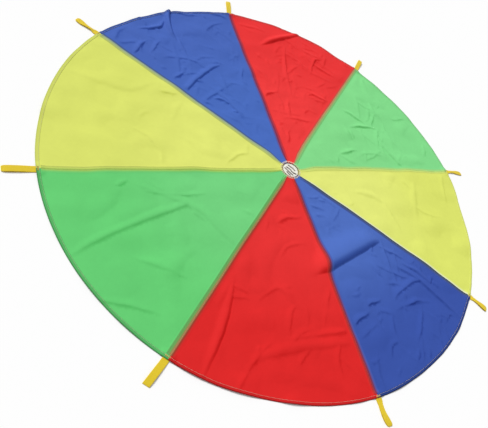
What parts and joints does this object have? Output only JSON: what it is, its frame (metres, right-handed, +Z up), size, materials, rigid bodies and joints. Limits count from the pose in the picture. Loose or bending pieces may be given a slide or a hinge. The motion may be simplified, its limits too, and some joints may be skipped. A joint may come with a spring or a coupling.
{
  "type": "play parachute",
  "caption": "Round play parachute of coloured cloth gores with a hemmed rim, a webbing loop at every seam and a net over the vent; it lies flat, folds over and its loops turn.",
  "frame": {"origin": "on the floor under the middle of the vent, with the canopy laid out flat", "axes": "+Z up from the floor, +X towards handle 1, so the fold line lies along X; handles and gores are numbered counterclockwise from +X seen from above"},
  "size_m": [2.204, 2.204, 0.0245],
  "materials": {
    "green_taffeta": "thin woven polyester with a soft sheen",
    "red_taffeta": "thin woven polyester with a soft sheen",
    "blue_taffeta": "thin woven polyester with a soft sheen",
    "yellow_taffeta": "thin woven polyester with a soft sheen",
    "yellow_webbing": "flat woven webbing, matt",
    "sewing_thread": "spun thread, matt",
    "white_net": "knitted net, matt"
  },
  "bodies": {
    "far_half": {"gore_5_green": "green_taffeta", "gore_6_red": "red_taffeta", "gore_7_blue": "blue_taffeta", "gore_8_yellow": "yellow_taffeta", "seam_thread_1": "sewing_thread", "seam_thread_6": "sewing_thread", "seam_thread_7": "sewing_thread", "seam_thread_8": "sewing_thread", "hem_thread_far": "sewing_thread", "handle_tail_1": "yellow_webbing", "handle_tail_5": "yellow_webbing", "handle_tail_6": "yellow_webbing", "handle_tail_7": "yellow_webbing", "handle_tail_8": "yellow_webbing", "bar_tack_1": "sewing_thread", "bar_tack_5": "sewing_thread", "bar_tack_6": "sewing_thread", "bar_tack_7": "sewing_thread", "bar_tack_8": "sewing_thread", "vent_net": "white_net", "vent_zigzag": "sewing_thread"},
    "near_half": {"gore_1_green": "green_taffeta", "gore_2_red": "red_taffeta", "gore_3_blue": "blue_taffeta", "gore_4_yellow": "yellow_taffeta", "seam_thread_2": "sewing_thread", "seam_thread_3": "sewing_thread", "seam_thread_4": "sewing_thread", "seam_thread_5": "sewing_thread", "hem_thread_near": "sewing_thread", "handle_tail_2": "yellow_webbing", "handle_tail_3": "yellow_webbing", "handle_tail_4": "yellow_webbing", "bar_tack_2": "sewing_thread", "bar_tack_3": "sewing_thread", "bar_tack_4": "sewing_thread"},
    "loop_1": {"handle_loop_1": "yellow_webbing"},
    "loop_2": {"handle_loop_2": "yellow_webbing"},
    "loop_3": {"handle_loop_3": "yellow_webbing"},
    "loop_4": {"handle_loop_4": "yellow_webbing"},
    "loop_5": {"handle_loop_5": "yellow_webbing"},
    "loop_6": {"handle_loop_6": "yellow_webbing"},
    "loop_7": {"handle_loop_7": "yellow_webbing"},
    "loop_8": {"handle_loop_8": "yellow_webbing"}
  },
  "joints": [
    {"name": "canopy_fold", "type": "hinge", "parent": "far_half", "child": "near_half", "pos_m": [0, 0, 0.022], "axis": [-1, 0, 0], "range_deg": [-180, 0], "deforming": ["vent_net", "vent_zigzag", "bar_tack_1", "bar_tack_5"]},
    {"name": "loop_1_hinge", "type": "hinge", "parent": "far_half", "child": "loop_1", "pos_m": [1.004, 0, 0.0014], "axis": [0, -1, 0], "range_deg": [-110, 110]},
    {"name": "loop_2_hinge", "type": "hinge", "parent": "near_half", "child": "loop_2", "pos_m": [0.70994, 0.70994, 0.0014], "axis": [0.7071, -0.7071, 0], "range_deg": [-110, 110]},
    {"name": "loop_3_hinge", "type": "hinge", "parent": "near_half", "child": "loop_3", "pos_m": [0, 1.004, 0.0014], "axis": [1, 0, 0], "range_deg": [-110, 110]},
    {"name": "loop_4_hinge", "type": "hinge", "parent": "near_half", "child": "loop_4", "pos_m": [-0.70994, 0.70994, 0.0014], "axis": [0.7071, 0.7071, 0], "range_deg": [-110, 110]},
    {"name": "loop_5_hinge", "type": "hinge", "parent": "far_half", "child": "loop_5", "pos_m": [-1.004, 0, 0.0014], "axis": [0, 1, 0], "range_deg": [-110, 110]},
    {"name": "loop_6_hinge", "type": "hinge", "parent": "far_half", "child": "loop_6", "pos_m": [-0.70994, -0.70994, 0.0014], "axis": [-0.7071, 0.7071, 0], "range_deg": [-110, 110]},
    {"name": "loop_7_hinge", "type": "hinge", "parent": "far_half", "child": "loop_7", "pos_m": [0, -1.004, 0.0014], "axis": [-1, 0, 0], "range_deg": [-110, 110]},
    {"name": "loop_8_hinge", "type": "hinge", "parent": "far_half", "child": "loop_8", "pos_m": [0.70994, -0.70994, 0.0014], "axis": [-0.7071, -0.7071, 0], "range_deg": [-110, 110]}
  ]
}
